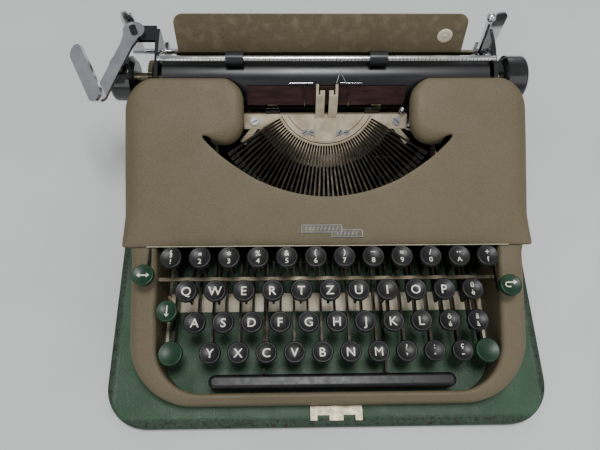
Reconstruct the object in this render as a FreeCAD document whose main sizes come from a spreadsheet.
import FreeCAD, Part
import math
import os

Vector = FreeCAD.Vector

# Driving dimensions, millimetres and degrees. X runs to the typist's right, Y away from the typist, Z up.
# The origin is the centre of the flat underside of the base board.
DIMENSIONS = {
    # base board of the travelling case
    "board_width": 312.0,
    "board_depth": 290.0,
    "board_thick": 8.0,
    "board_corner": 30.0,
    "board_roll": 3.0,
    "keeper_across": 5.0,
    "keeper_wide": 36.0,
    "keeper_deep": 9.6,
    "cup_radius": 9.5,
    "rear_cup_radius": 7.8,
    "cup_tall": 3.6,
    # lower housing
    "body_half": 135.0,
    "body_front": -131.0,
    "body_rear": 118.0,
    "body_top": 60.0,
    "body_front_top": 28.0,
    "body_corner": 40.0,
    "body_rear_corner": 20.0,
    "sheet_thick": 1.8,
    "well_half": 117.0,
    "well_front": -124.0,
    "well_corner": 30.0,
    "rim_round": 3.2,
    "rim_lip": 5.0,
    # ribbon cover
    "cover_half": 140.4,
    "cover_front": -32.0,
    "cover_gap": 0.6,
    "cover_lip": 1.8,
    "cover_round": 15.0,
    "cover_top": 105.2,
    "cover_rear": 65.3,
    "platen_swing": 18.3,
    "lobe_inner": 57.7,
    "lobe_front": 35.5,
    "lobe_rear": 74.5,
    "lobe_corner": 14.0,
    "lobe_rear_corner": 13.0,
    "lobe_wall": 9.0,
    # keyboard
    "key_pitch": 19.0,
    "key_radius": 7.3,
    "key_thick": 4.3,
    "key_dish": 1.3,
    "lever_thick": 1.5,
    "lever_tall": 7.0,
    "stem_wide": 5.0,
    "fulcrum_along": 60.0,
    "fulcrum_up": 22.0,
    "fulcrum_radius": 1.5,
    "pivot_slack": 0.07,
    "boss_radius": 5.0,
    "shift_boss": 4.1,
    "shift_radius": 8.2,
    "shift_across": 107.2,
    "shift_arm_across": 108.0,
    "shift_along": -99.0,
    "shift_up": 38.0,
    "shift_pivot_along": 20.0,
    "low_pivot_up": 12.5,
    "bar_half": 84.0,
    "bar_pivot_along": -26.0,
    # type basket
    "segment_tilt": 45.0,
    "print_along": 71.0,
    "print_up": 91.0,
    "segment_thick": 6.0,
    "segment_rim": 53.0,
    "disc_radius": 36.0,
    "slot_inner": 37.0,
    "slot_outer": 50.5,
    "slot_wide": 1.5,
    "bar_radius": 42.0,
    "bar_thick": 1.2,
    "bar_rest": 38.0,
    "fan_half": 62.0,
    "type_count": 44,
    # carriage
    "axis_along": 86.0,
    "axis_up": 90.0,
    "platen_radius": 15.5,
    "platen_half": 113.5,
    "shaft_radius": 4.0,
    "plate_inner": 116.5,
    "plate_thick": 2.5,
    "rail_front": 92.0,
    "rail_rear": 112.0,
    "rail_up": 66.0,
    "bed_gap": 0.3,
}

doc = FreeCAD.newDocument("typewriter")
sheet = doc.addObject("Spreadsheet::Sheet", "Dims")


def fill_sheet():
    for row, (alias, value) in enumerate(DIMENSIONS.items(), start=1):
        sheet.set("A%d" % row, alias)
        sheet.set("B%d" % row, str(value))
        sheet.setAlias("B%d" % row, alias)
    doc.recompute()


def dim(alias):
    return float(sheet.get(alias))


def bind(obj, prop, value):
    """Set a size: text is an expression over the sheet, with @ in front of each alias."""
    if isinstance(value, str):
        obj.setExpression(prop, value.replace("@", "Dims."))
    else:
        setattr(obj, prop, value)


def place(obj, at, axis=(0, 0, 1), angle=0.0):
    numbers = [0.0 if isinstance(value, str) else value for value in at]
    obj.Placement = FreeCAD.Placement(Vector(*numbers), FreeCAD.Rotation(Vector(*axis), angle))
    for letter, value in zip("xyz", at):
        if isinstance(value, str):
            obj.setExpression("Placement.Base." + letter, value.replace("@", "Dims."))
    return obj


def box(name, size, at):
    """A block with its lowest corner at the given place."""
    obj = doc.addObject("Part::Box", name)
    for prop, value in zip(("Length", "Width", "Height"), size):
        bind(obj, prop, value)
    return place(obj, at)


AXIS_TURNS = {"x": ((0, 1, 0), 90.0), "y": ((1, 0, 0), -90.0), "z": ((0, 0, 1), 0.0)}


def rod(name, radius, length, at, along="x"):
    """A round bar that starts at the given place and runs along +X, +Y or +Z."""
    obj = doc.addObject("Part::Cylinder", name)
    bind(obj, "Radius", radius)
    bind(obj, "Height", length)
    axis, angle = AXIS_TURNS[along]
    return place(obj, at, axis, angle)


def ball(name, radius, at):
    obj = doc.addObject("Part::Sphere", name)
    bind(obj, "Radius", radius)
    return place(obj, at)


def cut(name, base, tool):
    obj = doc.addObject("Part::Cut", name)
    obj.Base = base
    obj.Tool = tool
    return obj


def fuse(name, shapes):
    obj = doc.addObject("Part::MultiFuse", name)
    obj.Shapes = shapes
    return obj


def group(name, pieces):
    """Separate solids that share one node."""
    obj = doc.addObject("Part::Compound", name)
    obj.Links = pieces
    return obj


def tube(name, outer, inner, length, at, along="x"):
    wall = rod(name + "_outside", outer, length, at, along)
    hole = rod(name + "_inside", inner, length, at, along)
    return cut(name, wall, hole)


def outline_edges(outline):
    """Lines and three-point arcs: a plain pair ends a line, ("arc", middle, end) ends an arc."""
    start = outline[0]
    edges = []
    for item in list(outline[1:]) + [outline[0]]:
        if item[0] == "arc":
            middle, end = item[1], item[2]
            edges.append(Part.Arc(Vector(*start, 0), Vector(*middle, 0), Vector(*end, 0)))
        else:
            end = item
            if math.dist(start, end) > 1e-6:
                edges.append(Part.LineSegment(Vector(*start, 0), Vector(*end, 0)))
        start = end
    return edges


def rounded(corners):
    """An outline whose corners (x, y, radius) are joined by tangent arcs."""
    outline = []
    count = len(corners)
    for index, (x, y, radius) in enumerate(corners):
        here = Vector(x, y, 0)
        before = Vector(*corners[index - 1][:2], 0) - here
        after = Vector(*corners[(index + 1) % count][:2], 0) - here
        if radius <= 0:
            outline.append((x, y))
            continue
        half = before.getAngle(after) / 2
        reach = radius / math.tan(half)
        first = here + before.normalize() * reach
        last = here + after.normalize() * reach
        towards = (before + after).normalize()
        middle = here + towards * (radius / math.sin(half) - radius)
        outline.append((first.x, first.y))
        outline.append(("arc", (middle.x, middle.y), (last.x, last.y)))
    return outline


def start_body(name, plane, edges):
    """A PartDesign body with one sketch on one of its own origin planes."""
    body = doc.addObject("PartDesign::Body", name)
    sketch = body.newObject("Sketcher::SketchObject", name + "_sketch")
    support = next(item for item in body.Origin.OriginFeatures if item.Role == plane + "_Plane")
    sketch.AttachmentSupport = [(support, "")]
    sketch.MapMode = "FlatFace"
    sketch.addGeometry(edges, False)
    return body, sketch


def prism(name, plane, outline, length, at=(0, 0, 0), holes=(), middle=True, turn=None):
    """A pad of an outline; its sketch axes are X-Y, Y-Z or X-Z. Holes are (x, y, radius)."""
    edges = outline_edges(outline)
    for x, y, radius in holes:
        edges.append(Part.Circle(Vector(x, y, 0), Vector(0, 0, 1), radius))
    body, sketch = start_body(name, plane, edges)
    pad = body.newObject("PartDesign::Pad", name + "_pad")
    pad.Profile = sketch
    bind(pad, "Length", length)
    pad.Midplane = middle
    sketch.Visibility = False
    axis, angle = turn or ((0, 0, 1), 0.0)
    return place(body, at, axis, angle)


def lathe(name, outline, at):
    """A full revolution about the vertical axis of an outline given as (radius, height)."""
    body, sketch = start_body(name, "XZ", outline_edges(outline))
    turned = body.newObject("PartDesign::Revolution", name + "_turn")
    turned.Profile = sketch
    turned.ReferenceAxis = (sketch, ["V_Axis"])
    turned.Angle = 360.0
    return place(body, at)


def edges_where(shape, test):
    """Names of the edges whose every vertex and middle pass a test."""
    names = []
    for index, edge in enumerate(shape.Edges, start=1):
        middle = edge.valueAt((edge.FirstParameter + edge.LastParameter) / 2)
        points = [vertex.Point for vertex in edge.Vertexes] + [middle]
        if all(test(point) for point in points):
            names.append("Edge%d" % index)
    return names


def soften(body, radius, test):
    """A fillet on the edges of a body that pass the test."""
    doc.recompute()
    tip = body.Tip
    fillet = body.newObject("PartDesign::Fillet", body.Name + "_soft%d" % len(body.Group))
    fillet.Base = (tip, edges_where(tip.Shape, test))
    bind(fillet, "Radius", radius)
    return body


# ---- base board ----


def base_board():
    half_x = dim("board_width") / 2
    half_y = dim("board_depth") / 2
    corner = dim("board_corner")
    top = dim("board_thick")
    plan = rounded([(-half_x, -half_y, corner), (half_x, -half_y, corner),
                    (half_x, half_y, corner), (-half_x, half_y, corner)])
    board = prism("board", "XY", plan, "@board_thick", middle=False)
    soften(board, "@board_roll", lambda point: abs(point.z - top) < 1e-3)
    pieces = [board] + latch_keeper(-half_y + 4.0, top)
    return group("base_board", pieces)


def latch_keeper(front, top):
    """The slotted plate in front of the machine that the case latch hooks into, with its two screws."""
    middle = dim("keeper_across")
    wide = dim("keeper_wide")
    deep = dim("keeper_deep")
    thick = 1.4
    slot_wide, slot_deep = 8.5, 4.0
    plate = box("keeper_plate", ("@keeper_wide", "@keeper_deep", thick), (middle - wide / 2, front, top))
    slots = [box("keeper_slot%d" % side, (slot_wide, slot_deep, 2 * thick),
                 (middle + side * wide / 4 - slot_wide / 2, front - 0.5, top - thick / 2)) for side in (-1, 1)]
    pieces = [cut("keeper", plate, fuse("keeper_slots", slots))]
    for side in (-1, 1):
        screw_at = (middle + side * wide / 4.5, front + deep - 3.0, top + thick)
        pieces.append(rod("keeper_screw%d" % side, 1.8, 0.8, screw_at, "z"))
    return pieces


# ---- lower housing ----


def housing_plan(inset, front, half, corner):
    rear = dim("body_rear") - inset
    rear_corner = dim("body_rear_corner") - inset
    return rounded([(-half, front, corner), (half, front, corner),
                    (half, rear, rear_corner), (-half, rear, rear_corner)])


def housing_wedge(name, drop):
    """Everything above the sloping top of the housing, lowered by a wall thickness."""
    front = dim("body_front")
    slope_end = dim("cover_front")
    low = dim("body_front_top") - drop
    high = dim("body_top") - drop
    slope = (high - low) / (slope_end - front)
    reach = 20.0
    outline = [(front - reach, low - slope * reach), (slope_end, high), (200.0, high), (200.0, 150.0),
               (front - reach, 150.0)]
    return prism(name, "YZ", outline, 320.0)


def lower_housing():
    floor = dim("board_thick")
    tall = dim("body_top") - floor + 5
    wall = dim("sheet_thick")
    shell_plan = housing_plan(0.0, dim("body_front"), dim("body_half"), dim("body_corner"))
    outside = prism("housing_block", "XY", shell_plan, tall, (0, 0, floor), middle=False)
    outside = cut("housing_outside", outside, housing_wedge("housing_slope", 0.0))
    inner_plan = housing_plan(wall, dim("body_front") + wall, dim("body_half") - wall, dim("body_corner") - wall)
    cavity = prism("housing_cavity_block", "XY", inner_plan, tall + 5, (0, 0, floor - 5), middle=False)
    cavity = cut("housing_cavity_sloped", cavity, housing_wedge("housing_cavity_slope", wall))

    def well(name, grow, bottom):
        half = dim("well_half") + grow
        front = dim("well_front") - grow
        corner = dim("well_corner") + grow
        front_end = dim("cover_front") + 2.0
        front_plan = rounded([(-half, front, corner), (half, front, corner), (half, front_end + 9.0, 0),
                              (-half, front_end + 9.0, 0)])
        return prism(name, "XY", front_plan, 90.0, (0, 0, bottom), middle=False)

    rear_half = dim("body_half") - wall
    rear_start = dim("cover_front") + 2.0
    rear_end = dim("body_rear") - wall
    rear_plan = rounded([(-rear_half, rear_start, 0), (rear_half, rear_start, 0),
                         (rear_half, rear_end, dim("body_rear_corner") - wall),
                         (-rear_half, rear_end, dim("body_rear_corner") - wall)])
    engine_bay = prism("housing_bay", "XY", rear_plan, 90.0, (0, 0, floor - 5), middle=False)
    lip = dim("rim_lip") + wall
    low_plan = prism("housing_low_block", "XY", inner_plan, tall + 5, (0, 0, floor - 5), middle=False)
    low_space = cut("housing_low_space", low_plan, housing_wedge("housing_lip_slope", lip))
    ring_space = cut("housing_ring_space", cavity, well("housing_well_wall", wall, floor - 10))
    slot = box("housing_lever_slot", (4.2, 24.5, 14.0), (-123.1, -53.5, 50.5))
    hollow = fuse("housing_hollow", [ring_space, low_space, well("housing_well", 0.0, floor - 5), engine_bay, slot])
    shell = cut("housing_shell", outside, hollow)
    rim = doc.addObject("Part::Fillet", "lower_housing")
    doc.recompute()
    rim.Base = shell
    rim.Edges = [(int(name[4:]), dim("rim_round"), dim("rim_round")) for name in rim_edges(shell.Shape)]
    return rim


def rim_edges(shape):
    """The long edges around the top of the housing, outside and in front of the cover line."""
    front = dim("body_front")
    low = dim("body_front_top")
    slope = (dim("body_top") - low) / (dim("cover_front") - front)

    def on_rim(point):
        ahead = point.y < dim("cover_front") + 2.1
        on_top = abs(point.z - (low + slope * (point.y - front))) < 0.05
        away_from_slot = not (-124.0 < point.x < -118.0 and point.y > -54.5)
        return ahead and on_top and away_from_slot

    names = edges_where(shape, on_rim)
    return [name for name in names if shape.Edges[int(name[4:]) - 1].Length > 25.0]


# ---- ribbon cover ----


def cover_slope():
    rise = dim("cover_top") - dim("body_top") - dim("cover_gap") - dim("cover_lip")
    return rise / (72.0 - dim("cover_front"))


def cover_height(along):
    """Top of the cover: an even slope from the front lip to the ears."""
    base = dim("body_top") + dim("cover_gap") + dim("cover_lip")
    return base + cover_slope() * (along - dim("cover_front"))


def cover_profile(inset):
    """Side view of the cover; the rear edge keeps clear of the platen's swing."""
    bottom = dim("body_top") + dim("cover_gap") - (5.0 if inset else 0.0)
    front = dim("cover_front")
    axis_y = dim("axis_along")
    axis_z = dim("axis_up")
    swing = dim("platen_swing") + inset
    top = cover_height(71.5) - inset
    top_y = axis_y - math.sqrt(swing ** 2 - (top - axis_z) ** 2)
    rear = dim("cover_rear") - inset
    elbow_z = axis_z - 2.0
    elbow_y = axis_y - math.sqrt(swing ** 2 - (elbow_z - axis_z) ** 2)
    middle_angle = math.radians(157.0)
    middle = (axis_y + swing * math.cos(middle_angle), axis_z + swing * math.sin(middle_angle))
    start = front + inset
    return [(start, bottom), (start, cover_height(start) - inset), (top_y, cover_height(top_y) - inset),
            ("arc", middle, (elbow_y, elbow_z)), (rear, elbow_z), (rear, bottom)]


def cover_block(name, inset):
    """The sloping block of the cover with round shoulders along both sides."""
    half = dim("cover_half") - inset
    radius = dim("cover_round") - inset
    body = prism(name + "_profile", "YZ", cover_profile(inset), 2 * half)
    arch = rounded([(-half, -90.0, 0), (-half, 0.0, radius), (half, 0.0, radius), (half, -90.0, 0)])
    front = dim("cover_front")
    shoulders = prism(name + "_arch", "XZ", arch, 400.0, (0, front, cover_height(front) - inset),
                      turn=((1, 0, 0), math.degrees(math.atan(cover_slope()))))
    block = doc.addObject("Part::Common", name)
    block.Base = body
    block.Tool = shoulders
    return block


def lobe_side(side, grow):
    """Inner side of one ear, from its front corner back: a round corner, a straight and a round corner."""
    inner = dim("lobe_inner") + grow
    front = dim("lobe_front") + grow
    rear = dim("lobe_rear") - grow
    near = dim("lobe_corner") - grow
    far = dim("lobe_rear_corner") - grow
    eighth = math.sqrt(0.5)
    near_x, near_y = inner + near, front + near
    far_x, far_y = inner + far, rear - far
    return [(side * near_x, front),
            ("arc", (side * (near_x - near * eighth), near_y - near * eighth), (side * inner, near_y)),
            (side * inner, far_y),
            ("arc", (side * (far_x - far * eighth), far_y + far * eighth), (side * far_x, rear))]


def lobe_side_back(side, grow):
    """The same side from its rear corner to the front."""
    first, (_, near_middle, near_end), straight, (_, far_middle, far_end) = lobe_side(side, grow)
    return [far_end, ("arc", far_middle, straight), near_end, ("arc", near_middle, first)]


def crescent(end_y=95.0):
    """Plan of the opening: crescent front edge, pointed tips and the inner sides of the ears."""
    bottom = (0.0, -1.5)
    shoulder = (47.5, 8.9)
    wing_middle = (64.0, 18.4)
    wing = (79.0, 29.7)
    tip = (86.0, 36.8)
    tip_round = (85.2, 38.2)
    tip_in = (83.4, 37.6)
    right = [shoulder, ("arc", wing_middle, wing), tip, ("arc", tip_round, tip_in)] + lobe_side(1, 0.0)
    left = lobe_side_back(-1, 0.0) + [(-tip_in[0], tip_in[1]), ("arc", (-tip_round[0], tip_round[1]), (-tip[0], tip[1])),
                                      (-wing[0], wing[1]),
                                      ("arc", (-wing_middle[0], wing_middle[1]), (-shoulder[0], shoulder[1])),
                                      ("arc", bottom, shoulder)]
    right_end = right[-1][2]
    return right + [(right_end[0], end_y), (-right_end[0], end_y)] + left


def lobe_walls(wall, end_y=95.0):
    """Plan of the opening between the ears, wider by the wall of the sheet."""
    right = lobe_side(1, wall)
    end = right[-1][2]
    return right + [(end[0], end_y), (-end[0], end_y)] + lobe_side_back(-1, wall)


def ribbon_cover():
    wall = dim("sheet_thick")
    outside = cover_block("cover_outside", 0.0)
    inside = cover_block("cover_inside", wall)
    lobes = prism("cover_lobe_walls", "XY", lobe_walls(wall), 120.0, (0, 0, 20), middle=False)
    hollow = cut("cover_hollow", inside, lobes)
    shell = cut("cover_shell", outside, hollow)
    opening = prism("cover_opening", "XY", crescent(), 120.0, (0, 0, 20), middle=False)
    open_shell = cut("cover_open_shell", shell, opening)
    low = prism("cover_lobe_trim", "YZ", lobe_trim_profile(), 2 * (dim("lobe_inner") + 30.0))
    notch = box("cover_lever_notch", (5.0, 6.0, 3.0), (-123.5, -34.0, 59.5))
    return cut("ribbon_cover", open_shell, fuse("cover_trims", [low, notch]))


def lobe_trim_profile():
    """Below this line the walls of the ears stop, so that the type basket is free."""
    depth = dim("lobe_wall")
    near = dim("lobe_front") - 0.5
    far = 80.0
    bottom = 50.0
    return [(near, bottom), (far, bottom), (far, cover_height(71.5) - depth), (near, cover_height(near) - depth)]


# ---- keys ----

# Rows from the typist backwards: key names, place of the first key, height of the key tops and of the levers
KEY_ROWS = [
    {"names": ["y", "x", "c", "v", "b", "n", "m", "comma", "period", "hyphen"],
     "first": -80.75, "along": -99.0, "up": 37.7, "lever": 27.0},
    {"names": ["a", "s", "d", "f", "g", "h", "j", "k", "l", "o_umlaut", "a_umlaut"],
     "first": -90.25, "along": -80.8, "up": 48.5, "lever": 31.0},
    {"names": ["q", "w", "e", "r", "t", "z", "u", "i", "o", "p", "u_umlaut"],
     "first": -95.0, "along": -62.5, "up": 60.6, "lever": 36.0},
    {"names": ["exclamation", "2", "3", "4", "5", "6", "7", "8", "9", "0", "caret", "plus"],
     "first": -104.5, "along": -43.0, "up": 71.2, "lever": 41.0},
]


def keytop(name, radius, at):
    """A round button with a dished top, a rolled rim and a flat underside."""
    thick = dim("key_thick")
    dish = dim("key_dish")
    rim = 0.9
    outline = [(0, 0), (radius - 1.2, 0), (radius, 1.2), (radius, thick - 0.9),
               ("arc", (radius - 0.35, thick - 0.15), (radius - rim, thick)),
               ("arc", ((radius - rim) * 0.55, thick - dish * 0.76), (1.0, thick - dish)), (0, thick - dish)]
    return lathe(name, outline, at)


def lever_outline(along, stem_top, lever_up, pivot_along, pivot_up, boss):
    """Side view of a key lever: an upright stem and a bar back to the pivot boss."""
    stem = dim("stem_wide") / 2
    half = dim("lever_tall") / 2
    join = pivot_along - boss
    spread = math.sqrt(boss ** 2 - half ** 2)
    back = pivot_along - spread
    return [(along - stem, stem_top), (along - stem, lever_up - half + 1.5), (along - stem + 1.5, lever_up - half),
            (back, pivot_up - half),
            ("arc", (pivot_along + boss, pivot_up), (back, pivot_up + half)),
            (join - 2.0, pivot_up + half), (along + stem, lever_up + half), (along + stem, stem_top)]


def character_key(name, across, row):
    stem_top = row["up"] - dim("key_thick")
    hole = (dim("fulcrum_along"), dim("fulcrum_up"), dim("fulcrum_radius") + dim("pivot_slack"))
    outline = lever_outline(row["along"], stem_top, row["lever"], hole[0], hole[1], dim("boss_radius"))
    lever = prism(name + "_lever", "YZ", outline, "@lever_thick", (across, 0, 0), [hole])
    top = keytop(name + "_top", dim("key_radius"), (across, row["along"], stem_top))
    return group(name, [lever, top])


def key_places():
    for row in KEY_ROWS:
        for index, name in enumerate(row["names"]):
            yield "key_" + name, row["first"] + index * dim("key_pitch"), row


def character_keys():
    return [character_key(name, across, row) for name, across, row in key_places()]


def space_bar():
    """A long rounded bar on two arms that run back between the key levers."""
    mid_x = 2.0
    front, rear, low, high = -121.5, -112.0, 23.0, 30.0
    half = dim("bar_half")
    plan = rounded([(-half, front, 4.7), (half, front, 4.7), (half, rear, 4.7), (-half, rear, 4.7)])
    bar = prism("space_bar_button", "XY", plan, high - low, (mid_x, 0, low), middle=False)
    soften(bar, 2.6, lambda point: abs(point.z - high + low) < 1e-3)
    pivot = dim("bar_pivot_along")
    up = dim("low_pivot_up")
    boss = 3.2
    middle = (front + rear) / 2
    outline = [(middle - 3, low), (middle - 3, 16.6), (middle - 1.5, 15.6), (pivot - 2.2, up - 2.32),
               ("arc", (pivot + boss, up), (pivot - 2.2, up + 2.32)), (rear + 1.5, 20.4), (middle + 3, low)]
    pieces = [bar]
    hole = (pivot, up, 1.2 + dim("pivot_slack"))
    for side, across in enumerate((-9.5 * 4.75, 8.5 * 4.75)):
        pieces.append(prism("space_arm%d" % side, "YZ", outline, "@lever_thick", (across, 0, 0), [hole]))
    return group("space_bar", pieces)


def shift_keys():
    """Left and right shift keys and the lock key on one torque tube."""
    across = dim("shift_across")
    arm = dim("shift_arm_across")
    along = dim("shift_along")
    stem_top = dim("shift_up") - dim("key_thick")
    pivot = dim("shift_pivot_along")
    up = dim("low_pivot_up")
    tube_radius = 1.8
    lock_along, lock_up = -73.0, 50.0
    lock_bottom = lock_up - dim("key_thick")
    base = lever_outline(along, stem_top, 24.0, pivot, up + 0.2, dim("shift_boss"))
    left = base[:-2] + [(lock_along + 2.5, 26.0), (lock_along + 2.5, lock_bottom), (lock_along - 2.5, lock_bottom),
                        (lock_along - 2.5, 26.5)] + base[-2:]
    hole = [(pivot, up + 0.2, tube_radius)]
    pieces = [prism("shift_arm_left", "YZ", left, 2.0, (-arm, 0, -0.2), hole),
              prism("shift_arm_right", "YZ", base, 2.0, (arm, 0, -0.2), hole),
              rod("shift_tube", tube_radius, 232.6, (-116.3, pivot, up)),
              keytop("shift_top_left", dim("shift_radius"), (-across, along, stem_top - 0.2)),
              keytop("shift_top_right", dim("shift_radius"), (across, along, stem_top - 0.2)),
              keytop("shift_lock_top", dim("key_radius"), (-109.2, lock_along, lock_bottom - 0.2))]
    return group("shift_keys", pieces)


def side_key(name, across, along, key_up, strip, lever_up, pivot, travel_tab):
    """A function key at the edge of the keyboard on a thin strip with its own pivot pin."""
    pivot_along, pivot_up, pin = pivot
    stem_top = key_up - dim("key_thick")
    half = 1.8
    boss = 4.0
    spread = math.sqrt(boss ** 2 - half ** 2)
    back = pivot_along - spread
    front = along - 2.5
    outline = [(front, stem_top - travel_tab), (front, lever_up - half), (back, pivot_up - half),
               ("arc", (pivot_along + boss, pivot_up), (back, pivot_up + half)),
               (along + 2.5, lever_up + half), (along + 2.5, stem_top - travel_tab)]
    hole = [(pivot_along, pivot_up, pin + dim("pivot_slack"))]
    pieces = [prism(name + "_strip", "YZ", outline, "@lever_thick", (strip, 0, 0), hole),
              keytop(name + "_top", dim("key_radius"), (across, along, stem_top))]
    if travel_tab:
        low_x = min(across, strip) - 0.75
        wide = abs(across - strip) + 1.5
        pieces.append(box(name + "_tab", (wide, 5.0, travel_tab), (low_x, front, stem_top - travel_tab)))
    return group(name, pieces)


# ---- type basket ----


def on_segment(obj, across=0.0, along=0.0, up=0.0):
    """Move a piece built flat into the tilted plane of the segment; its origin is the printing point."""
    tilt = math.radians(dim("segment_tilt"))
    y = dim("print_along") + along * math.cos(tilt) - up * math.sin(tilt)
    z = dim("print_up") + along * math.sin(tilt) + up * math.cos(tilt)
    return place(obj, (across, y, z), (1, 0, 0), dim("segment_tilt"))


def type_angles():
    count = int(dim("type_count"))
    half = dim("fan_half")
    return [-half + index * 2 * half / (count - 1) for index in range(count)]


def segment_slots(thick):
    """All radial slots as one tool, in the plane of the segment."""
    inner = dim("slot_inner")
    outer = dim("slot_outer")
    wide = dim("slot_wide")
    one = Part.makeBox(wide, outer - inner, thick + 2, Vector(-wide / 2, -outer, -thick - 1))
    slots = []
    for angle in type_angles():
        copy = one.copy()
        copy.rotate(Vector(0, 0, 0), Vector(0, 0, 1), angle)
        slots.append(copy)
    tool = doc.addObject("Part::Feature", "segment_slot_tool")
    tool.Shape = Part.makeCompound(slots)
    return tool


def segment():
    """Slotted plate, half disc, type guide, braces and the two sliding blocks behind it."""
    rim = dim("segment_rim")
    top, wing_low, wing = -13.8, -24.3, 58.5
    join = math.sqrt(rim ** 2 - wing_low ** 2)
    thick = dim("segment_thick")
    plate_outline = [(-wing, top), (-wing, wing_low), (-join, wing_low), ("arc", (0, -rim), (join, wing_low)),
                     (wing, wing_low), (wing, top)]
    plate = prism("segment_plate", "XY", plate_outline, thick, middle=False)
    on_segment(plate, up=-thick)
    slots = on_segment(segment_slots(thick))
    slotted = cut("segment_slotted", plate, slots)
    disc = dim("disc_radius")
    disc_side = math.sqrt(disc ** 2 - top ** 2)
    half_disc = prism("segment_disc", "XY", [(-disc_side, top), ("arc", (0, -disc), (disc_side, top))], 1.0,
                      middle=False)
    on_segment(half_disc)
    pieces = []
    blocks = [slotted]
    for side in (-1, 1):
        block = box("slide_block%d" % side, (10.0, 20.0, 8.0), (side * 52.0 - 5.0, 57.0, 63.0))
        bore = rod("slide_bore%d" % side, 3.0 + dim("pivot_slack"), 12.0, (side * 52.0, 73.0, 61.0), "z")
        blocks.append(cut("slide_block_bored%d" % side, block, bore))
        brace_outline = [(side * 49.0, wing_low), (side * 54.0, wing_low), (side * 62.0, -33.0),
                         (side * 58.5, -36.0)]
        brace = prism("segment_brace%d" % side, "XY", brace_outline, 2.5, middle=False)
        blocks.append(on_segment(brace, up=-2.7))
    pieces.append(fuse("segment_casting", blocks))
    pieces.append(half_disc)
    for index, across in enumerate((-15.0, -10.3, 10.3, 15.0)):
        pieces.append(on_segment(rod("segment_screw%d" % index, 2.0, 1.0, (0, 0, 0), "z"), across, -26.5, 1.0))
    for side in (-1, 1):
        pieces.append(on_segment(rod("wing_screw%d" % side, 2.9, 1.2, (0, 0, 0), "z"), side * 51.0, -18.5, 0.0))
    pieces.append(type_guide())
    return group("segment", pieces)


def type_guide():
    """A bent plate on the half disc whose two prongs guide each typebar to the printing point."""
    tilt = math.radians(dim("segment_tilt"))
    lift = 1.0
    foot = 33.0
    bend = 15.5

    def on_face(distance, height):
        y = dim("print_along") - distance * math.cos(tilt) - height * math.sin(tilt)
        z = dim("print_up") - distance * math.sin(tilt) + height * math.cos(tilt)
        return (y, z)

    neck_y, neck_z, top_y, top_z, thick = 66.0, 97.2, 70.8, 103.0, 1.3
    outline = [on_face(foot, lift), on_face(bend, lift), (neck_y, neck_z), (top_y, top_z),
               (top_y - 1.1, top_z + 0.8), (neck_y - thick, neck_z + 0.5), on_face(bend + 0.7, lift + thick),
               on_face(foot, lift + thick)]
    wide, horn, notch = 15.2, 1.8, 1.2
    plate = prism("type_guide_plate", "YZ", outline, wide)
    gap_floor = on_face(bend, 0.0)[1] + 1.5
    gap = box("type_guide_gap", (3.0, 30.0, 30.0), (-1.5, 50.0, gap_floor))
    inner_wide = wide / 2 - horn - 1.5
    shoulders = []
    for side in (-1, 1):
        middle = side * (1.5 + inner_wide / 2)
        shoulders.append(box("type_guide_shoulder%d" % side, (inner_wide, 30.0, 30.0),
                             (middle - inner_wide / 2, 50.0, 99.6)))
        notch_x = side * (wide / 2 - horn - notch / 2)
        shoulders.append(box("type_guide_notch%d" % side, (notch, 30.0, 30.0), (notch_x - notch / 2, 50.0, 97.4)))
    return cut("type_guide", plate, fuse("type_guide_cuts", [gap] + shoulders))


def typebars():
    """Flat bars at rest in the slots, each with its type slug, all on one fan."""
    radius = dim("bar_radius")
    length = dim("bar_radius")
    rest = dim("bar_rest")
    pivot_depth = -2.2
    bar = prism("typebar_pattern", "XZ", [(-5.0, -2.0), (3.0, -2.6), (length - 3.0, -1.3), (length - 3.0, 1.3),
                                          (3.0, 2.4), (-5.0, 1.6)], "@bar_thick")
    slug = prism("slug_pattern", "XZ", rounded([(length - 3.0, -2.4, 0.6), (length + 4.0, -2.4, 0.6),
                                                (length + 4.0, 2.8, 0.6), (length - 3.0, 2.8, 0.6)]), 2.7)
    doc.recompute()
    pieces = []
    for angle in type_angles():
        for pattern in (bar, slug):
            copy = pattern.Shape.copy()
            copy.rotate(Vector(0, 0, 0), Vector(0, 1, 0), -rest)
            copy.translate(Vector(radius, 0, pivot_depth))
            copy.rotate(Vector(0, 0, 0), Vector(0, 0, 1), angle - 90.0)
            pieces.append(copy)
    fan = doc.addObject("Part::Feature", "typebars")
    fan.Shape = Part.makeCompound(pieces)
    return on_segment(fan)


# ---- machine frame ----


def side_plate(side):
    floor = dim("board_thick")
    outline = rounded([(-28.0, floor, 0), (110.0, floor, 0), (110.0, 60.0, 0), (6.0, 60.0, 6), (-28.0, 44.0, 4)])
    holes = [(dim("fulcrum_along"), dim("fulcrum_up"), dim("fulcrum_radius")),
             (dim("shift_pivot_along"), dim("low_pivot_up"), 1.8 + dim("pivot_slack"))]
    return prism("side_plate%d" % side, "YZ", outline, 2.0, (side * 115.5, 0, 0), holes)


def key_comb():
    """Upright guide plate with one open slot for each key lever."""
    teeth_floor, top, end = 13.4, 43.0, 106.6
    half = 1.15
    places = sorted(across for _, across, _ in key_places())
    outline = [(-end, dim("board_thick")), (end, dim("board_thick")), (end, top)]
    for across in reversed(places):
        outline += [(across + half, top), (across + half, teeth_floor), (across - half, teeth_floor),
                    (across - half, top)]
    outline.append((-end, top))
    return prism("key_comb", "XZ", outline, 2.0, (0, -19.0, 0))


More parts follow.
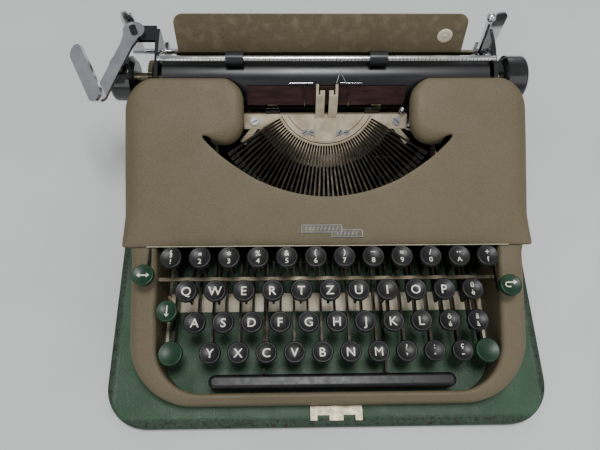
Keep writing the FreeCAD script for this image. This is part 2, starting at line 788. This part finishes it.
def ribbon_parts():
    pieces = []
    plate = 115.5
    for side in (-1, 1):
        centre = (side * 97.0, 42.0)
        low_x = min(side * 80.0, side * (plate - 1.0))
        pieces.append(box("cup_bracket%d" % side, (plate - 81.0, 16.0, 2.0), (low_x, 34.0, 58.0)))
        cup = [(0, 0), (19.0, 0), (19.0, 9.0), (17.8, 9.0), (17.8, 1.2), (0, 1.2)]
        pieces.append(lathe("spool_cup%d" % side, cup, (centre[0], centre[1], 60.0)))
        spool = [(0, 0), (16.8, 0), (16.8, 0.8), (12.5, 0.8), (12.5, 12.6), (16.8, 12.6), (16.8, 13.4), (2.4, 13.4),
                 (2.4, 15.5), (0, 15.5)]
        pieces.append(lathe("spool%d" % side, spool, (centre[0], centre[1], 61.2)))
    ribbon = [(67.9, 83.0), (68.3, 82.9), (72.0, 99.0), (71.6, 99.1)]
    pieces.append(prism("ribbon", "YZ", ribbon, 112.0))
    return pieces


def drive_parts():
    """Mainspring drum, escapement wheel, bell and the posts that the type basket slides on."""
    pieces = []
    drum = [(0, 0), (19.0, 0), (19.0, 2.0), (17.5, 2.0), (17.5, 13.0), (19.0, 13.0), (19.0, 15.0), (3.0, 15.0),
            (3.0, 18.0), (0, 18.0)]
    pieces.append(lathe("spring_drum", drum, (-78.0, 86.0, 34.0)))
    pieces.append(box("drum_bracket", (3.0, 22.0, 26.0), (-79.5, 86.0, 8.0)))
    wheel = []
    teeth = 24
    for index in range(teeth):
        for radius, share in ((13.0, 0.0), (13.0, 0.35), (11.2, 0.55)):
            angle = 2 * math.pi * (index + share) / teeth
            wheel.append((radius * math.cos(angle), radius * math.sin(angle)))
    pieces.append(prism("escapement_wheel", "XY", wheel, 1.6, (0, 94.0, 54.0), middle=False))
    pieces.append(rod("escapement_post", 3.0, 46.0, (0, 94.0, 8.0), "z"))
    bell = [(0, 9.5), (3.0, 9.5), ("arc", (10.6, 6.0), (14.0, 0.0)), (13.0, 0.0), ("arc", (9.8, 5.2), (3.0, 8.4)),
            (0, 8.4)]
    pieces.append(lathe("bell", bell, (72.0, 88.0, 36.0)))
    pieces.append(rod("bell_post", 2.0, 36.4, (72.0, 88.0, 8.0), "z"))
    for side in (-1, 1):
        pieces.append(rod("basket_post%d" % side, 3.0, 65.0, (side * 52.0, 73.0, 8.0), "z"))
    return pieces


def front_plate(floor):
    """Flat plate across the front of the frame with a foot along each side."""
    reach, thick = 127.0, 1.2
    cross = box("front_plate_cross", (2 * reach, 14.0, thick), (-reach, -64.0, floor))
    feet = [box("front_plate_foot%d" % side, (12.0, 62.0, thick), (side * (reach - 6.0) - 6.0, -92.0, floor))
            for side in (-1, 1)]
    return fuse("front_plate", [cross] + feet)


def mounting_cup(name, radius, at):
    tall = dim("cup_tall")
    outline = [(0, 0), (radius - 2.5, 0), (radius, tall - 0.6), (radius, tall), (radius - 1.0, tall),
               (radius - 3.4, 1.4), (2.6, 1.4), (2.6, 2.4), (0, 2.4)]
    return lathe(name, outline, at)


def mounting_cups(floor):
    """Round cups in the four corners; a rubber mount sits in each."""
    cups = []
    for side in (-1, 1):
        cups.append(mounting_cup("cup_front%d" % side, dim("cup_radius"), (side * 120.5, -61.0, floor + 1.2)))
        cups.append(mounting_cup("cup_rear%d" % side, dim("rear_cup_radius"), (side * 124.6, 96.0, floor)))
    return cups


def machine_frame():
    floor = dim("board_thick")
    inside = 114.5
    pieces = [side_plate(-1), side_plate(1)]
    pieces.append(box("rear_plate", (2 * inside, 2.0, 52.0), (-inside, 108.0, floor)))
    pieces.append(front_plate(floor))
    pieces += mounting_cups(floor)
    pieces.append(box("stop_bar", (2 * dim("well_half"), 2.5, 2.5), (-dim("well_half"), -51.5, 44.0)))
    pieces.append(rod("fulcrum_rod", "@fulcrum_radius", 233.0, (-116.5, "@fulcrum_along", "@fulcrum_up")))
    bar_pivot = [rod("bar_pivot_rod", 1.2, 98.0, (-51.0, "@bar_pivot_along", "@low_pivot_up"))]
    for side, low_x in ((-1, -52.0), (1, 44.5)):
        bar_pivot.append(box("bar_pivot_lug%d" % side, (3.0, 6.0, 6.6), (low_x, dim("bar_pivot_along") - 3.0, floor)))
    pieces.append(fuse("bar_pivot", bar_pivot))
    pieces.append(key_comb())
    pieces.append(rod("margin_pin", 1.5, 9.0, (-125.5, 40.0, 57.0)))
    pieces.append(rod("backspace_pin", 1.5, 4.5, (110.0, 40.0, 52.0)))
    rail_deep = dim("rail_rear") - dim("rail_front")
    pieces.append(box("carriage_rail", (232.0, rail_deep, 6.0), (-116.0, "@rail_front", 60.0)))
    return group("machine_frame", pieces + ribbon_parts() + drive_parts())


# ---- carriage ----


def end_plate(side):
    axis_y = dim("axis_along")
    axis_z = dim("axis_up")
    reach = 15.6
    low_z = 80.6
    low_y = axis_y - math.sqrt(reach ** 2 - (low_z - axis_z) ** 2)
    high_y = 80.0
    high_z = axis_z + math.sqrt(reach ** 2 - (high_y - axis_y) ** 2)
    front = (axis_y - reach, axis_z)
    outline = [(67.2, 76.4), (67.2, low_z), (low_y, low_z), ("arc", front, (high_y, high_z)), (100.0, 109.0),
               (114.0, 109.0), (114.0, 86.0), (124.6, 84.0), (124.6, 73.0), (116.0, 68.0), (116.0, 66.3),
               (88.0, 66.3), (78.0, 75.0)]
    holes = [(axis_y, axis_z, dim("shaft_radius") + dim("pivot_slack")), (103.0, 97.0, 1.5),
             (121.0, 78.0, 2.0 + dim("pivot_slack")), (106.0, 92.0, 1.5)]
    middle = dim("plate_inner") + dim("plate_thick") / 2
    return prism("end_plate%d" % side, "YZ", outline, "@plate_thick", (side * middle, 0, 0), holes)


def paper_table():
    """Leaning plate with round top corners, standing on the trough that wraps the platen."""
    axis = (dim("axis_along"), dim("axis_up"))
    inner, outer = 18.0, 19.2

    def at(radius, degrees):
        angle = math.radians(degrees)
        return (axis[0] + radius * math.cos(angle), axis[1] + radius * math.sin(angle))

    first, middle, last = -58.0, -12.0, 33.0
    profile = [at(inner, first), ("arc", at(inner, middle), at(inner, last)), at(outer, last),
               ("arc", at(outer, middle), at(outer, first))]
    trough = prism("paper_trough", "YZ", profile, 214.0)
    lean = 16.5
    foot = at(inner, last)
    left, right, high = -104.5, 97.0, 28.4
    plan = rounded([(left, 0.0, 0), (right, 0.0, 0), (right, high, 7.0), (left, high, 7.0)])
    table = prism("paper_table_plate", "XZ", plan, outer - inner)
    place(table, (0, foot[0] + 0.6, foot[1] + 0.25), (1, 0, 0), -lean)
    return fuse("paper_table", [trough, table])


def carriage_frame():
    inner = dim("plate_inner")
    bed_low = dim("rail_up") + dim("bed_gap")
    bed = box("bed_plate", (2 * inner, 28.0, 3.0), (-inner, 88.0, bed_low))
    lips = [box("bed_lip_front", (2 * inner, 3.7, 4.3), (-inner, 88.0, 62.0)),
            box("bed_lip_rear", (2 * inner, 3.7, 4.3), (-inner, 112.3, 62.0))]
    pieces = [fuse("carriage_bed", [bed] + lips), end_plate(-1), end_plate(1)]
    pieces.append(box("front_rail", (2 * inner, 3.0, 3.0), (-inner, 67.5, 77.0)))
    pieces.append(paper_table())
    for side, start in ((-1, -119.0), (1, 113.9)):
        pieces.append(rod("bail_pin%d" % side, 1.5, 5.1, (start, 103.0, 97.0)))
    pieces.append(rod("release_pin", 1.5, 8.5, (110.5, 106.0, 92.0)))
    pieces.append(box("lever_bracket", (22.0, 13.0, 2.5), (-141.0, 104.0, 106.5)))
    pieces.append(rod("lever_pin", 2.5, 5.8, (-134.0, 110.0, 109.0), "z"))
    for index, (along, up) in enumerate(((79.7, 73.0), (92.3, 73.0))):
        pieces.append(rod("feed_roller%d" % index, 2.2, 2 * inner, (-inner, along, up)))
    pieces.append(box("margin_bar", (2 * inner, 1.6, 6.0), (-inner, 111.0, 71.0)))
    for index, across in enumerate((-70.0, 66.0)):
        pieces.append(box("margin_stop%d" % index, (9.0, 4.6, 9.0), (across, 106.4, 70.0)))
    for index, across in enumerate((-38.0, 36.0)):
        pieces.append(box("card_clip%d" % index, (7.0, 1.2, 8.5), (across - 3.5, 66.3, 76.0)))
    return group("carriage_frame", pieces)


def platen():
    """Rubber roller on its shaft with a knob at each end and the line-space ratchet wheel."""
    axis = (dim("axis_along"), dim("axis_up"))
    shaft = rod("platen_shaft", "@shaft_radius", 288.0, (-149.0, "@axis_along", "@axis_up"))
    shaft_size = dim("shaft_radius")
    roller = tube("platen_roller", "@platen_radius", "@shaft_radius", "@platen_half * 2",
                  ("-@platen_half", "@axis_along", "@axis_up"))
    teeth = 30
    wheel = []
    for index in range(teeth):
        for radius, share in ((12.5, 0.0), (12.5, 0.3), (11.2, 0.8)):
            angle = 2 * math.pi * (index + share) / teeth
            wheel.append((axis[0] + radius * math.cos(angle), axis[1] + radius * math.sin(angle)))
    ratchet = prism("ratchet_wheel", "YZ", wheel, 3.0, (-122.5, 0, 0), [(axis[0], axis[1], shaft_size)])
    knob_profile = [(shaft_size, 0), (12.0, 0), (15.5, 3.0), (15.5, 14.0), ("arc", (14.6, 16.4), (12.0, 17.4)),
                    (shaft_size, 17.4)]
    pieces = [shaft, roller, ratchet]
    for side, start in ((-1, -133.5), (1, 124.5)):
        knob = lathe("knob%d" % side, knob_profile, (start, axis[0], axis[1]))
        knob.Placement.Rotation = FreeCAD.Rotation(Vector(0, 1, 0), 90.0 * side)
        pieces.append(knob)
    return group("platen", pieces)


def return_lever():
    """Flat arm on an upright pin, bent forward over the cover, with an oval finger plate."""
    pivot = (-134.0, 110.0)
    knee = (-150.0, 55.0)
    tip = (-168.5, 91.5)
    low, thick = 109.4, 2.6
    arm = Vector(knee[0] - pivot[0], knee[1] - pivot[1], 0)
    length = arm.Length
    across = Vector(-arm.y, arm.x, 0).normalize()
    along = Vector(arm.x, arm.y, 0).normalize()
    centre = Vector(*pivot, 0)

    def spot(distance, offset):
        point = centre + along * distance + across * offset
        return (point.x, point.y)

    boss = 7.5
    root = 5.0
    half = 4.2
    outline = [spot(root, -5.6), ("arc", spot(-boss, 0.0), spot(root, 5.6)), spot(14.0, half),
               spot(length - 2.0, half), ("arc", spot(length + 3.5, 0.0), spot(length - 2.0, -half)), spot(14.0, -half)]
    hole = [(pivot[0], pivot[1], 2.5 + dim("pivot_slack"))]
    flat = prism("lever_arm", "XY", outline, thick, (0, 0, low), hole, middle=False)
    reach = math.dist(knee, tip)
    finger_outline = rounded([(-5.0, -6.0, 5.9), (reach + 2.0, -6.0, 5.9), (reach + 2.0, 6.0, 5.9), (-5.0, 6.0, 5.9)])
    finger = prism("lever_finger", "XY", finger_outline, 2.2, middle=False)
    heading = math.degrees(math.atan2(tip[1] - knee[1], tip[0] - knee[0]))
    turn = FreeCAD.Rotation(Vector(0, 0, 1), heading).multiply(FreeCAD.Rotation(Vector(1, 0, 0), -38.0))
    finger.Placement = FreeCAD.Placement(Vector(knee[0] - 1.5, knee[1], 113.4), turn)
    return group("return_lever", [fuse("lever_blade", [flat, finger])])


def paper_bail():
    """Rod across the platen on two arms, with two rollers that hold the paper down."""
    up = dim("axis_up") + dim("platen_radius") + 5.2
    along = dim("axis_along")
    pieces = []
    pivot = (103.0, 97.0)
    rod_radius = 1.6
    for side in (-1, 1):
        pieces.append(prism("bail_arm%d" % side, "YZ", bail_arm_outline(pivot, (along, up)), 1.6,
                            (side * 114.9, 0, 0), [(pivot[0], pivot[1], 1.5 + dim("pivot_slack"))]))
    pieces.append(rod("bail_rod", rod_radius, 228.2, (-114.1, along, up)))
    for index, middle in enumerate((-63.0, 35.0)):
        pieces.append(tube("bail_roller%d" % index, 5.0, rod_radius, 12.0, (middle - 6.0, along, up)))
    return group("paper_bail", pieces)


def bail_arm_outline(pivot, end):
    """A slim arm with a round foot about its pin and a round head about the rod."""
    direction = Vector(end[0] - pivot[0], end[1] - pivot[1], 0).normalize()
    side = Vector(-direction.y, direction.x, 0)
    foot = Vector(*pivot, 0)
    head = Vector(*end, 0)

    def flat(point):
        return (point.x, point.y)

    half, round_foot = 2.0, 3.2
    neck = math.sqrt(round_foot ** 2 - half ** 2)
    return [flat(foot + direction * neck - side * half), flat(head - side * half),
            ("arc", flat(head + direction * half), flat(head + side * half)),
            flat(foot + direction * neck + side * half),
            ("arc", flat(foot - direction * round_foot), flat(foot + direction * neck - side * half))]


def paper_release_lever():
    """Upright lever with a ball tip at the right end of the platen."""
    pivot = (106.0, 92.0)
    top = (109.5, 120.0)
    arm = prism("release_arm", "YZ", bail_arm_outline(pivot, top), 1.8, (112.0, 0, 0),
                [(pivot[0], pivot[1], 1.5 + dim("pivot_slack"))])
    tip = ball("release_ball", 3.2, (112.0, top[0], top[1] + 4.4))
    return fuse("paper_release_lever", [arm, tip])


def carriage_release_levers():
    """A rod along the back of the carriage with a thumb tab at each end."""
    along, up = 121.0, 78.0
    pieces = [rod("carriage_release_rod", 2.0, 273.0, (-144.0, along, up))]
    for side, middle in ((-1, -139.5), (1, 124.5)):
        plan = rounded([(-4.5, 0, 0), (4.5, 0, 0), (4.5, 38.0, 4.4), (-4.5, 38.0, 4.4)])
        tab = prism("carriage_tab%d" % side, "XZ", plan, 1.5, (middle, along, up + 1.7))
        pieces.append(tab)
    return fuse("carriage_release_levers", pieces)


# ---- assembly ----


def build():
    fill_sheet()
    parts = [base_board(), lower_housing(), machine_frame(), ribbon_cover(), segment(), typebars()]
    parts += character_keys()
    parts += [space_bar(), shift_keys()]
    parts.append(side_key("margin_release_key", -123.0, -53.0, 66.0, -121.0, 59.8, (40.0, 57.0, 1.5), 0.0))
    parts.append(side_key("backspace_key", 120.0, -61.0, 63.0, 113.35, 57.0, (40.0, 52.0, 1.5), 1.5))
    parts += [carriage_frame(), platen(), return_lever(), paper_bail(), paper_release_lever(),
              carriage_release_levers()]
    doc.recompute()
    for obj in doc.Objects:
        if "Invalid" in obj.State or "Error" in obj.State:
            raise RuntimeError("%s is %s" % (obj.Name, obj.State))
    return parts


def export(parts):
    os.makedirs("parts", exist_ok=True)
    for part in parts:
        shape = part.Shape
        if shape.isNull() or not shape.isValid():
            raise RuntimeError("%s has no valid shape" % part.Name)
        part.Label = part.Name
        shape.exportStep("parts/%s.step" % part.Name)
        print(part.Name, len(shape.Solids), "solids", round(shape.Volume), "mm3")


export(build())
